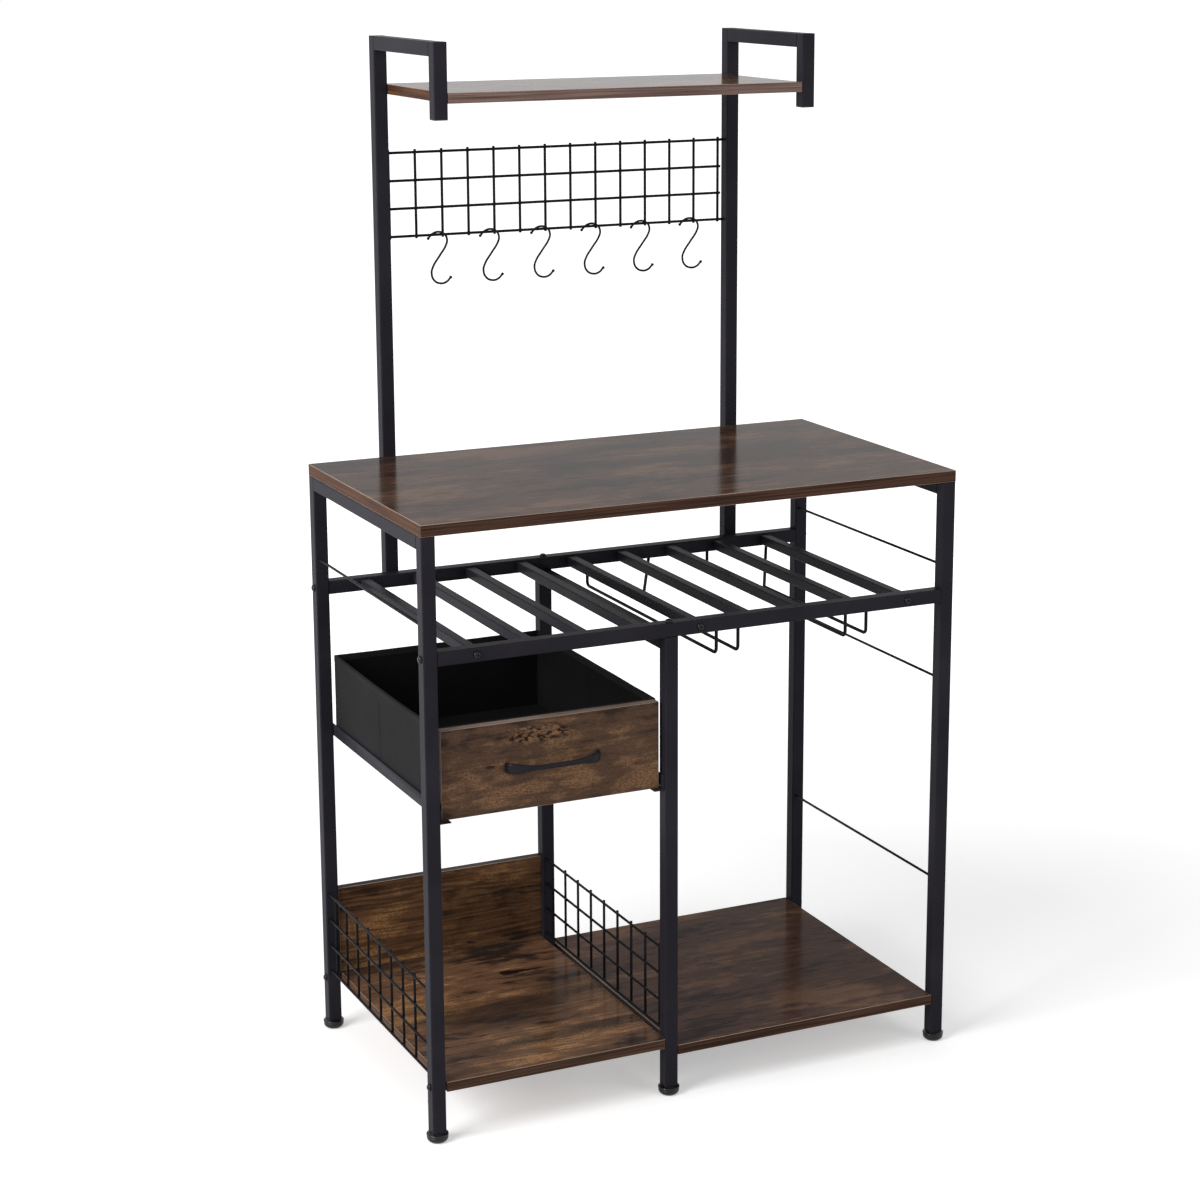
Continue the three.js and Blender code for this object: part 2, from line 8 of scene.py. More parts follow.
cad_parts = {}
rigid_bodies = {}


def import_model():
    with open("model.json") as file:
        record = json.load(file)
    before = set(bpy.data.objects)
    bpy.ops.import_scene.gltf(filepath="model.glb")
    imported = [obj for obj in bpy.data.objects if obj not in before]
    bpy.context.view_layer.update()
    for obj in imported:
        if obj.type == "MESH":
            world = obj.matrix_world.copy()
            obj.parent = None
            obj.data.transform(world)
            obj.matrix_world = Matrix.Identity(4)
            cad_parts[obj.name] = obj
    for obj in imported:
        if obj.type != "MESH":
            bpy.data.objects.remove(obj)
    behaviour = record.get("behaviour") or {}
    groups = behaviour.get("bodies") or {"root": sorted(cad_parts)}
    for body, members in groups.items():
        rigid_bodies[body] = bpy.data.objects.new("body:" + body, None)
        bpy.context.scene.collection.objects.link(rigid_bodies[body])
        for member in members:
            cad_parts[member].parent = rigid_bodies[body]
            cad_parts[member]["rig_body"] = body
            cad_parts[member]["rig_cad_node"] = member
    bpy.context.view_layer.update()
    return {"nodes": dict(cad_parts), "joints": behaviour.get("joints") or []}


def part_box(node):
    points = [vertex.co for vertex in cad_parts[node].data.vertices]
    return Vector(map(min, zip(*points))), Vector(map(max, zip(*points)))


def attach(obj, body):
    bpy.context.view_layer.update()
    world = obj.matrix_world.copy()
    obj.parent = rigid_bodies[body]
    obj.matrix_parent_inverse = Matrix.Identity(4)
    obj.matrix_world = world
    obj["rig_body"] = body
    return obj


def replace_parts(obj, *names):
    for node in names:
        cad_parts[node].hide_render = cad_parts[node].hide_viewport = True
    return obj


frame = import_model()

mm = 0.001

# Camera
# The rack is seen from its left front corner, from a little above the top of the hutch,
# through a long lens. Its shift is kept small, so that every view holds the whole rack.
camera_place = Vector((-1.76556, -3.73731, 1.79852))
camera_turn = radians(-25.187)
camera_tilt = radians(76.959)
camera_roll = radians(-0.203)
camera_sensor = 36
camera_lens = 79.669
camera_shift = (-0.02, -0.05)
camera_far = 200
bpy.ops.object.camera_add(location=camera_place)
camera = bpy.context.object
turned = Matrix.Rotation(camera_turn, 3, "Z") @ Matrix.Rotation(camera_tilt, 3, "X")
camera.rotation_euler = (turned @ Matrix.Rotation(camera_roll, 3, "Z")).to_euler()
camera.data.sensor_width = camera_sensor
camera.data.lens = camera_lens
camera.data.shift_x, camera.data.shift_y = camera_shift
camera.data.clip_end = camera_far
bpy.context.scene.camera = camera
bpy.context.scene.view_settings.view_transform = "Standard"

# Studio
# A wide white floor and a white room, which the camera and the glossy metal see at full
# strength, while a weaker room light and three soft boxes light the rack itself. The floor
# keeps the soft shadow round the feet and turns plain white further out.
floor_size = 120
floor_white = 0.88
floor_glow = 0.41
shadow_reach = (1.0, 3.0)
room_light = 0.25
soft_boxes = {
    "key_light": {"place": (-3.6, -0.8, 2.6), "size": 2.4, "power": 160},
    "fill_light": {"place": (2.2, -4.2, 2.2), "size": 3.0, "power": 50},
    "top_light": {"place": (0.2, 0.3, 4.6), "size": 3.0, "power": 42},
}
look_at = Vector((0, 0, 0.8))
white = (1, 1, 1, 1)


def feed(tree, made, inputs):
    """Set or link the inputs of a node."""
    for socket, value in inputs.items():
        if isinstance(value, bpy.types.NodeSocket):
            tree.links.new(value, made.inputs[socket])
        else:
            made.inputs[socket].default_value = value


def shader_node(tree, kind, inputs=None, **settings):
    """A node with its settings made and its inputs set or linked."""
    made = tree.nodes.new("ShaderNode" + kind)
    for setting, value in settings.items():
        setattr(made, setting, value)
    feed(tree, made, inputs or {})
    return made


def seen_directly(tree):
    """1 for what the camera, gloss and glass see, 0 for what lights the rack."""
    rays = shader_node(tree, "LightPath").outputs
    seen = rays["Is Camera Ray"]
    for kind in ("Is Glossy Ray", "Is Transmission Ray"):
        seen = shader_node(tree, "Math", {0: seen, 1: rays[kind]}, operation="MAXIMUM").outputs[0]
    return seen


room = bpy.data.worlds.new("white_room")
room.use_nodes = True
bpy.context.scene.world = room
tree = room.node_tree
room_strength = shader_node(
    tree, "MapRange", {"Value": seen_directly(tree), "To Min": room_light, "To Max": 1.0})
feed(tree, tree.nodes["Background"], {"Color": white, "Strength": room_strength.outputs[0]})

bpy.ops.object.select_all(action="DESELECT")
bpy.ops.mesh.primitive_plane_add(size=floor_size)
floor = bpy.context.object
floor.name = "floor"
floor_paint = bpy.data.materials.new("floor_paint")
floor_paint.use_nodes = True
tree = floor_paint.node_tree
tree.nodes.remove(tree.nodes["Principled BSDF"])
lit = shader_node(tree, "BsdfDiffuse", {"Color": (floor_white, floor_white, floor_white, 1)})
place = shader_node(tree, "TexCoord").outputs["Object"]
away = shader_node(tree, "VectorMath", {0: place}, operation="LENGTH")
faded = shader_node(tree, "MapRange", {
    "Value": away.outputs["Value"], "From Min": shadow_reach[0], "From Max": shadow_reach[1],
    "To Min": floor_glow})
glow_share = shader_node(
    tree, "Math", {0: seen_directly(tree), 1: faded.outputs[0]}, operation="MULTIPLY")
glow = shader_node(tree, "Emission", {"Color": white, "Strength": glow_share.outputs[0]})
both = shader_node(tree, "AddShader", {0: lit.outputs[0], 1: glow.outputs[0]})
feed(tree, tree.nodes["Material Output"], {"Surface": both.outputs[0]})
floor.data.materials.append(floor_paint)

for name, box in soft_boxes.items():
    aim = look_at - Vector(box["place"])
    bpy.ops.object.light_add(
        type="AREA", location=box["place"], rotation=aim.to_track_quat("-Z", "Y").to_euler())
    lamp = bpy.context.object
    lamp.name = name
    lamp.data.size = box["size"]
    lamp.data.energy = box["power"]

# Square steel tube
# The legs, rails and slats are cut from square tube with rounded edges, welded end to side
# and sprayed with a matt black powder coat whose fine grain breaks up the light.
tube = 22 * mm
tube_corner = 2 * mm
corner_segments = 4
slat_corner = 1.5 * mm
edge_segments = 2
merge_gap = 0.005 * mm
smooth_below = 32
square_on = 0.9999
turned_up = 0.9
coat_black = (0.019, 0.0175, 0.0232, 1)
coat_worn = (0.027, 0.025, 0.0318, 1)


def start_clean():
    """Leave edit mode and deselect everything."""
    if bpy.context.mode != "OBJECT":
        bpy.ops.object.mode_set(mode="OBJECT")
    bpy.ops.object.select_all(action="DESELECT")


def take_up(piece):
    """Make a piece the only one selected."""
    start_clean()
    piece.select_set(True)
    bpy.context.view_layer.objects.active = piece


def settle(piece):
    """Put a piece's place into its mesh."""
    take_up(piece)
    bpy.ops.object.transform_apply(location=True, rotation=True, scale=True)


def joined(name, pieces):
    """Several pieces made one, in the first of them."""
    start_clean()
    for piece in pieces:
        piece.select_set(True)
    bpy.context.view_layer.objects.active = pieces[0]
    bpy.ops.object.join()
    pieces[0].name = name
    return pieces[0]


def smooth(piece, degrees=smooth_below):
    """Shade a piece smooth, with its sharp edges kept."""
    take_up(piece)
    bpy.ops.object.shade_smooth_by_angle(angle=radians(degrees))


def flat_sides(piece):
    """Keep the sides of a rounded block flat, so that only its edges shade as round."""
    for face in piece.data.polygons:
        face.use_smooth = max(abs(value) for value in face.normal) < square_on


def pick(piece, kind, test):
    """In edit mode, select the points, edges or faces that pass a test."""
    bpy.ops.mesh.select_mode(type=kind)
    bpy.ops.mesh.select_all(action="DESELECT")
    mesh = bmesh.from_edit_mesh(piece.data)
    for part in {"VERT": mesh.verts, "EDGE": mesh.edges, "FACE": mesh.faces}[kind]:
        part.select_set(bool(test(part)))
    mesh.select_flush_mode()
    bmesh.update_edit_mesh(piece.data)


def pick_faces(piece, test):
    """In edit mode, select the faces whose middle and normal pass a test."""
    pick(piece, "FACE", lambda face: test(face.calc_center_median(), face.normal))


def pick_top(piece):
    """In edit mode, select the faces that look up."""
    pick_faces(piece, lambda middle, normal: normal.z > turned_up)


def round_edges(piece, width, segments, test=lambda a, b: True):
    """Enter edit mode and round the edges whose two ends pass a test."""
    bpy.ops.object.mode_set(mode="EDIT")
    pick(piece, "EDGE", lambda edge: test(edge.verts[0].co, edge.verts[1].co))
    bpy.ops.mesh.bevel(offset=width, segments=segments, affect="EDGES")


def modified(piece, kind, **settings):
    """Give a piece a modifier with its settings, and apply it."""
    take_up(piece)
    made = piece.modifiers.new(kind, kind)
    for setting, value in settings.items():
        setattr(made, setting, value)
    bpy.ops.object.modifier_apply(modifier=kind)


def merge():
    """Enter edit mode and merge the points that meet."""
    bpy.ops.object.mode_set(mode="EDIT")
    bpy.ops.mesh.select_all(action="SELECT")
    bpy.ops.mesh.remove_doubles(threshold=merge_gap)


def seal():
    """Merge the points that meet and turn all faces outwards."""
    merge()
    bpy.ops.mesh.normals_make_consistent(inside=False)


def block(name, low, high):
    """A box between two corners, to be shaped further."""
    start_clean()
    low, high = Vector(low), Vector(high)
    bpy.ops.mesh.primitive_cube_add(size=1, location=(low + high) / 2)
    made = bpy.context.object
    made.name = name
    made.scale = high - low
    settle(made)
    return made


def new_group(name, **inputs):
    """A node group with the inputs named for each kind, what they give, and its output node."""
    made = bpy.data.node_groups.new(name, "ShaderNodeTree")
    outputs = {"Color": ["Colour"], "Float": ["Roughness", "Height"]}
    for way, sockets in (("INPUT", inputs), ("OUTPUT", outputs)):
        for kind, names in sockets.items():
            for socket in names:
                made.interface.new_socket(socket, in_out=way, socket_type="NodeSocket" + kind)
    given = made.nodes.new("NodeGroupInput").outputs
    return made, given, made.nodes.new("NodeGroupOutput")


def new_material(name):
    """A material, its tree, its shader and its object coordinates."""
    made = bpy.data.materials.new(name)
    made.use_nodes = True
    tree = made.node_tree
    places = shader_node(tree, "TexCoord").outputs["Object"]
    return made, tree, tree.nodes["Principled BSDF"], places


def surface(tree, shader, finish, depth, strength, gloss):
    """Feed a shader with a finish, which has a colour, a roughness and a height."""
    bump = shader_node(
        tree, "Bump", {"Height": finish["Height"], "Distance": depth, "Strength": strength})
    feed(tree, shader, {
        "Base Color": finish["Colour"], "Roughness": finish["Roughness"],
        "Normal": bump.outputs["Normal"], "Specular IOR Level": gloss})


# Fine grain that a sprayed or moulded surface shows: its colour wanders a little towards a
# rubbed tone, its roughness drifts, and it has a height for the bump.
cloud_scale = 9.0
rubbed_span = (0.4, 0.75)
roughness_drift = 0.07
grain_bump = 0.6
grain_group, given, out = new_group(
    "fine_grain", Vector=["Place"], Color=["Colour", "Rubbed"], Float=["Grains", "Roughness"])
grains = shader_node(
    grain_group, "TexNoise", {"Vector": given["Place"], "Scale": given["Grains"], "Detail": 2.0})
clouds = shader_node(
    grain_group, "TexNoise", {"Vector": given["Place"], "Scale": cloud_scale, "Detail": 3.0})
cloud = clouds.outputs["Fac"]
wander = shader_node(
    grain_group, "MapRange",
    {"Value": cloud, "From Min": rubbed_span[0], "From Max": rubbed_span[1]})
blended = shader_node(
    grain_group, "Mix", {0: wander.outputs[0], 6: given["Colour"], 7: given["Rubbed"]},
    data_type="RGBA")
uneven = shader_node(
    grain_group, "MapRange",
    {"Value": cloud, "To Min": -roughness_drift, "To Max": roughness_drift})
rough = shader_node(
    grain_group, "Math", {0: given["Roughness"], 1: uneven.outputs[0]}, operation="ADD")
feed(grain_group, out, {
    "Colour": blended.outputs[2], "Roughness": rough.outputs[0], "Height": grains.outputs["Fac"]})


def grain_of(tree, places, colour, rubbed, grains, roughness):
    """The fine grain with its two colours, its grains to the metre and its roughness."""
    return shader_node(tree, "Group", {
        "Place": places, "Colour": colour, "Rubbed": rubbed, "Grains": grains,
        "Roughness": roughness}, node_tree=grain_group).outputs


def grained(name, colour, rubbed, grains, roughness, depth, gloss):
    """A sprayed, moulded, plated or spun finish with a fine grain."""
    made, tree, shader, places = new_material(name)
    fine = grain_of(tree, places, colour, rubbed, grains, roughness)
    surface(tree, shader, fine, depth, grain_bump, gloss)
    return made


powder_coat = grained(
    "powder_coat", coat_black, coat_worn, grains=1100, roughness=0.4, depth=0.05 * mm, gloss=0.03)


def square_tube(name, low, high, corner=tube_corner, node=None):
    """A length of square tube with its four long edges rounded."""
    made = block(name, low, high)
    sides = [high[i] - low[i] for i in range(3)]
    along = sides.index(max(sides))
    round_edges(
        made, corner, corner_segments, lambda a, b: abs(a[along] - b[along]) > sides[along] / 2)
    smooth(made)
    flat_sides(made)
    made.data.materials.append(powder_coat)
    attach(made, "frame")
    if node:
        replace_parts(made, node)
    return made


def tube_box(node, face):
    """The tube's own corners in a node's box, without the bolt heads on the named faces."""
    low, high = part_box(node)
    for axis, side in face:
        i = "xyz".index(axis)
        if side == "+":
            high[i] = low[i] + tube
        else:
            low[i] = high[i] - tube
    return low, high


for side, bolted in (("left", "-"), ("right", "+")):
    for end in ("front", "rear"):
        node = f"leg_{end}_{side}"
        low, high = tube_box(node, [("x", bolted)])
        square_tube(node + "_tube", low, high, node=node)

plain_tubes = [
    "leg_front_middle", "leg_rear_middle", "top_rail_left", "top_rail_right", "top_rail_middle"]
for node in plain_tubes:
    square_tube(node + "_tube", *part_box(node), node=node)

# Bottle rack
# Nine thinner tubes are welded between two long rails, so that bottles lie in the gaps; the
# rails are bolted to the legs at both ends.
slat_count = 9
for side, bolted in (("front", "-"), ("rear", "+")):
    node = "rack_rail_" + side
    low, high = tube_box(node, [("y", bolted), ("z", "+")])
    square_tube(node + "_tube", low, high, node=node)
for i in range(slat_count):
    node = f"rack_slat_{i + 1}"
    square_tube(node + "_tube", *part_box(node), corner=slat_corner, node=node)

# Stemware wires
# Bent steel wire hangs under the bottle rack in pairs; a glass slides in from the front by
# its foot, and the second wire of each pair flares outwards at the rear.
wire_black = (0.0045, 0.0045, 0.0055, 1)
wire_worn = (0.008, 0.008, 0.009, 1)
wire_coat = grained(
    "wire_coat", wire_black, wire_worn, grains=900, roughness=0.48, depth=0.008 * mm, gloss=0.07)
stem_wire = 5.4 * mm
stem_bend = 8 * mm
stem_drop = 37 * mm
flare_run = 139 * mm
flare_width = 78 * mm
wire_sides = 12
bend_steps = 6


def bent_wire(name, corners, thickness, bend):
    """A round wire led from corner to corner, each corner bent round."""
    start_clean()
    heading = (corners[1] - corners[0]).normalized()
    bpy.ops.mesh.primitive_circle_add(
        vertices=wire_sides, radius=thickness / 2, fill_type="NGON",
        location=corners[0], rotation=heading.to_track_quat("Z", "Y").to_euler())
    made = bpy.context.object
    made.name = name
    settle(made)
    bpy.ops.object.mode_set(mode="EDIT")
    bpy.ops.mesh.select_all(action="SELECT")
    here = corners[0].copy()
    for i in range(1, len(corners)):
        turn = 0
        stop = corners[i]
        if i < len(corners) - 1:
            ahead = (corners[i + 1] - corners[i]).normalized()
            turn = heading.angle(ahead)
            trim = bend * tan(turn / 2)
            stop = corners[i] - heading * trim
        bpy.ops.mesh.extrude_region_move(TRANSFORM_OT_translate={"value": stop - here})
        here = stop
        if turn:
            axis = heading.cross(ahead).normalized()
            centre = here + axis.cross(heading) * bend
            bpy.ops.mesh.spin(steps=bend_steps, angle=-turn, center=centre, axis=axis)
            here = corners[i] + ahead * trim
            heading = ahead
    seal()
    smooth(made)
    return made


for pair in ("left", "right"):
    low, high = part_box(f"stemware_wire_{pair}_straight")
    flared_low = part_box(f"stemware_wire_{pair}_flared")[0]
    front = low.y + stem_wire / 2
    rear = high.y - stem_wire / 2
    top = high.z
    bottom = top - stem_drop
    for kind, x, run, width in (
            ("straight", (low.x + high.x) / 2, 0, 0),
            ("flared", flared_low.x + stem_wire / 2, flare_run, flare_width)):
        node = f"stemware_wire_{pair}_{kind}"
        wire = bent_wire(node + "_bent", [
            Vector((x, front, top)), Vector((x, front, bottom)), Vector((x, rear - run, bottom)),
            Vector((x + width, rear, top))], stem_wire, stem_bend)
        wire.data.materials.append(wire_coat)
        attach(wire, "frame")
        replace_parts(wire, node)

# Side wires and side nets
# Thin rods brace the end frames, and two nets of the same rod, spot-welded at every crossing,
# keep things on the left shelf.
rod = 4.2 * mm
rod_edge = 0.5 * mm
net_rows = 4
net_columns = 9
net_row_pitch = 44.7 * mm
net_column_pitch = 52 * mm
net_overrun = 5 * mm
net_weld = 0.4 * mm
turns_from_z = ((0, pi / 2, 0), (pi / 2, 0, 0), (0, 0, 0))
side_wires = [
    "side_wire_left", "side_wire_right_upper", "side_wire_right_middle", "side_wire_right_lower"]


def middle_of(node):
    """The middle of a node's box."""
    low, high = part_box(node)
    return (low + high) / 2


def wire_rod(start, end, thickness):
    """A straight round rod with its ends slightly rounded."""
    start_clean()
    run = end - start
    axis = max(range(3), key=lambda i: abs(run[i]))
    bpy.ops.mesh.primitive_cylinder_add(
        vertices=wire_sides, radius=thickness / 2, depth=run.length, location=(start + end) / 2,
        rotation=turns_from_z[axis])
    made = bpy.context.object
    settle(made)
    round_edges(made, rod_edge, edge_segments, lambda a, b: abs(a[axis] - b[axis]) < rod_edge)
    return made


def welded(name, rods):
    """Rods joined to one net."""
    made = joined(name, rods)
    smooth(made)
    made.data.materials.append(wire_coat)
    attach(made, "frame")
    return made


for node in side_wires:
    low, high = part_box(node)
    start = middle_of(node)
    end = start.copy()
    start.y = low.y
    end.y = high.y
    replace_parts(welded(node + "_rod", [wire_rod(start, end, rod)]), node)

for node in ("side_net_left", "side_net_middle"):
    low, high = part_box(node)
    row_x = low.x + rod / 2
    column_x = row_x + rod - net_weld
    rods = []
    for row in range(net_rows):
        z = low.z + net_overrun + row * net_row_pitch
        rods.append(wire_rod(Vector((row_x, low.y, z)), Vector((row_x, high.y, z)), rod))
    column_top = z + rod / 2
    for column in range(net_columns):
        y = (low.y + high.y) / 2 + (column - (net_columns - 1) / 2) * net_column_pitch
        rods.append(wire_rod(Vector((column_x, y, low.z)), Vector((column_x, y, column_top)), rod))
    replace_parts(welded(node + "_rods", rods), node)

# Feet
# A moulded black plastic glide is pressed into each leg: a round cap with a rim round its top
# and a curved underside that ends in a small flat.
foot_plastic = grained(
    "foot_plastic", (0.0055, 0.0055, 0.006, 1), (0.01, 0.01, 0.011, 1),
    grains=600, roughness=0.3, depth=0.04 * mm, gloss=0.3)
foot_outline = [
    (0, 0), (11.2, 0), (12.0, 0.3), (14.4, 2.2), (16.1, 4.6), (16.5, 6.2), (16.5, 9.0),
    (16.1, 9.5), (16.1, 10.2), (17.0, 10.8), (17.0, 12.6), (16.4, 13.4), (14.6, 13.8),
    (13.6, 14.6), (12.4, 15.0), (0, 15.0)]
spin_steps = 40


def turned_shape(name, outline):
    """A round piece: an outline of radius and height in millimetres spun about Z."""
    start_clean()
    bpy.ops.mesh.primitive_plane_add(size=mm)
    made = bpy.context.object
    made.name = name
    bpy.ops.object.mode_set(mode="EDIT")
    bpy.ops.mesh.select_mode(type="VERT")
    bpy.ops.mesh.select_all(action="SELECT")
    bpy.ops.mesh.merge(type="CENTER")
    here = Vector((0, 0, 0))
    for radius, height in outline:
        spot = Vector((radius, 0, height)) * mm
        if (spot - here).length > 0:
            bpy.ops.mesh.extrude_vertices_move(TRANSFORM_OT_translate={"value": spot - here})
        here = spot
    bpy.ops.mesh.select_all(action="SELECT")
    bpy.ops.mesh.spin(steps=spin_steps, angle=2 * pi, center=(0, 0, 0), axis=(0, 0, 1))
    seal()
    smooth(made)
    return made


def copied(piece, name, place, turn=(0, 0, 0)):
    """A copy of a piece with its own mesh, turned and moved."""
    take_up(piece)
    bpy.ops.object.duplicate()
    made = bpy.context.object
    made.name = name
    made.rotation_euler = turn
    made.location = place
    settle(made)
    return made


foot = turned_shape("foot_pattern", foot_outline)
foot.data.materials.append(foot_plastic)
for end in ("front", "rear"):
    for side in ("left", "middle", "right"):
        node = f"foot_{end}_{side}"
        place = middle_of(node)
        place.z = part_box(node)[0].z
        made = copied(foot, node + "_glide", place)
        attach(made, "frame")
        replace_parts(made, node)
bpy.data.objects.remove(foot)

# Boards
# Particle board with a printed wood laminate on its faces and a ribbed band glued round its
# edges: dark walnut for the worktop and two shelves, livelier rustic brown for the rest.
board_edge = 0.7 * mm
face_on = 0.99
glue_tilt = 0.2


def paint(red, green, blue):
    """A colour given in display values from 0 to 255."""
    def linear(value):
        share = value / 255
        return share / 12.92 if share <= 0.04045 else ((share + 0.055) / 1.055) ** 2.4
    return (linear(red), linear(green), linear(blue), 1)


laminate_group, given, out = new_group(
    "printed_laminate", Vector=["Place", "Shift", "Scar"],
    Color=["Dark", "Middle", "Light", "Knot"],
    Float=["Lightness", "Knots", "Rings", "Flecks", "Bands", "Mottle", "Grain"])


def in_group(kind, inputs, **settings):
    """A node of the laminate group."""
    return shader_node(laminate_group, kind, inputs, **settings)


def ranged(value, span, low=0.0, high=1.0):
    """A value that goes from low to high over a span, with soft ends."""
    ends = {"From Min": span[0], "From Max": span[1], "To Min": low, "To Max": high}
    return in_group(
        "MapRange", {"Value": value, **ends}, interpolation_type="SMOOTHSTEP").outputs[0]


def product(a, b):
    """One value times another."""
    return in_group("Math", {0: a, 1: b}, operation="MULTIPLY").outputs[0]


def added(a, b):
    """One value plus another."""
    return in_group("Math", {0: a, 1: b}, operation="ADD").outputs[0]


def centred(value):
    """A noise moved to lie about zero."""
    return added(value, -0.5)


def vectors(operation, a, b):
    """Two vectors taken together."""
    return in_group("VectorMath", {0: a, 1: b}, operation=operation).outputs[0]


def noise(place, along, across, detail, output="Fac"):
    """Noise with so many spots to the metre along and across the board."""
    spread = in_group("Mapping", {"Vector": place, "Scale": (along, across, across)}).outputs[0]
    return in_group("TexNoise", {"Vector": spread, "Scale": 1.0, "Detail": detail}).outputs[output]


def mixed(share, a, b):
    """One colour with a share of another."""
    return in_group("Mix", {0: share, 6: a, 7: b}, data_type="RGBA").outputs[2]


# Each decor lies elsewhere in the print, which wavers a little across the grain.
noise_middle = (0.5, 0.5, 0.5)
waver = (0.0, 0.045, 0.045)
shifted = vectors("ADD", given["Place"], given["Shift"])
drift = noise(shifted, along=2.4, across=7.0, detail=2.0, output="Color")
drift = vectors("SUBTRACT", drift, noise_middle)
warped = vectors("ADD", shifted, vectors("MULTIPLY", drift, waver))
clouds = noise(warped, along=4.2, across=12.5, detail=3.5)
mottle = noise(warped, along=26.0, across=62.0, detail=5.0)
grain = noise(warped, along=3.5, across=170.0, detail=5.0)
fibres = noise(warped, along=20.0, across=620.0, detail=3.0)
speckles = noise(shifted, along=300.0, across=560.0, detail=3.0)
bands = noise(shifted, along=1.9, across=9.0, detail=2.0)

# The ground runs from dark to light in long clouds, broken by a finer mottle and the grain,
# with a few wide smoky bands.
cloud_weight = 0.72
ground_level = 0.14
grain_weight = 0.16
middle_span = (0.37, 0.5)
light_span = (0.52, 0.65)
band_span = (0.53, 0.66)
depth = added(product(clouds, cloud_weight), ground_level)
depth = added(depth, product(centred(mottle), given["Mottle"]))
depth = added(added(depth, given["Lightness"]), product(centred(grain), grain_weight))
light_share = ranged(depth, light_span)
colour = mixed(ranged(depth, middle_span), given["Dark"], given["Middle"])
colour = mixed(light_share, colour, given["Light"])
colour = mixed(product(ranged(bands, band_span), given["Bands"]), colour, given["Dark"])

# Growth lines, then knots of uneven size, lie over the ground.
line_span = (0.5, 0.58)
knot_spread = (5.5, 15.0, 15.0)
knot_raggedness = 0.35
knot_edge = 0.2
knot_core = 0.14
lines = ranged(noise(warped, along=1.6, across=210.0, detail=3.0), line_span)
colour = mixed(product(lines, given["Rings"]), colour, given["Dark"])
spread = in_group("Mapping", {"Vector": warped, "Scale": knot_spread}).outputs[0]
spots = in_group("TexVoronoi", {"Vector": spread, "Scale": 1.0})
chance = in_group("SeparateColor", {"Color": spots.outputs["Color"]}).outputs[0]
ragged = added(spots.outputs["Distance"], product(centred(mottle), knot_raggedness))
knots = ranged(ragged, (product(chance, knot_edge), product(chance, knot_core)))
colour = mixed(product(knots, given["Knots"]), colour, given["Knot"])

# A scar is one place where the print shows dark bark lines and bright flecks; it fades out
# towards its edge. A board without one has it far off.
scar_stretch = (13.0, 13.0, 55.0)
scar_fade = (1.0, 0.5)
bright_bark = ((0.45, 0.36), 0.75)
dark_bark = ((0.52, 0.57), 0.9)
no_scar = (9, 9, 9)
from_scar = vectors("MULTIPLY", vectors("SUBTRACT", given["Place"], given["Scar"]), scar_stretch)
from_scar = in_group("VectorMath", {0: from_scar}, operation="LENGTH").outputs["Value"]
within = ranged(from_scar, scar_fade)
bark = noise(warped, along=110.0, across=240.0, detail=4.0)
bright = in_group(
    "HueSaturation", {"Color": given["Light"], "Saturation": 1.1, "Value": 1.5}).outputs[0]
for (span, strength), tone in ((bright_bark, bright), (dark_bark, given["Knot"])):
    colour = mixed(product(product(ranged(bark, span), within), strength), colour, tone)

# Grain, fibres and specks make the whole lighter and darker by a little.
fleck_base = 0.9
gloss_span = (0.3, 0.7)
smoothest = 0.14
roughest = 0.2
grain_height = 0.6
fibre_height = 0.4
shade = added(1.0, product(added(added(grain, fibres), -1.0), given["Grain"]))
flecked = added(fleck_base, product(light_share, given["Flecks"]))
shade = added(shade, product(centred(speckles), flecked))
colour = in_group("HueSaturation", {"Color": colour, "Value": shade}).outputs[0]
feed(laminate_group, out, {
    "Colour": colour, "Roughness": ranged(fibres, gloss_span, smoothest, roughest),
    "Height": added(product(grain, grain_height), product(fibres, fibre_height))})

print_depth = 0.04 * mm
print_bump = 0.35
print_gloss = 0.015
rib_span = (0.35, 0.65)
rib_depth = 0.2 * mm
rib_bump = 0.5
band_roughness = 0.45
band_gloss = 0.04


def laminate(name, scar=no_scar, **values):
    """One printed decor, with the group's other inputs given by name."""
    made, tree, shader, places = new_material(name)
    inputs = {socket.capitalize(): value for socket, value in values.items()}
    inputs.update({"Place": places, "Scar": scar})
    group = shader_node(tree, "Group", inputs, node_tree=laminate_group).outputs
    surface(tree, shader, group, print_depth, print_bump, print_gloss)
    return made


def edge_band(name, stretch, dark, light):
    """The ribbed band on a board's edge, its ribs along the board."""
    made, tree, shader, places = new_material(name)
    ribs = shader_node(tree, "Mapping", {"Vector": places, "Scale": stretch}).outputs[0]
    lines = shader_node(tree, "TexNoise", {"Vector": ribs, "Scale": 1.0, "Detail": 3.0})
    lines = lines.outputs["Fac"]
    share = shader_node(
        tree, "MapRange", {"Value": lines, "From Min": rib_span[0], "From Max": rib_span[1]})
    colour = shader_node(
        tree, "Mix", {0: share.outputs[0], 6: paint(*dark), 7: paint(*light)}, data_type="RGBA")
    finish = {"Colour": colour.outputs[2], "Roughness": band_roughness, "Height": lines}
    surface(tree, shader, finish, rib_depth, rib_bump, band_gloss)
    return made


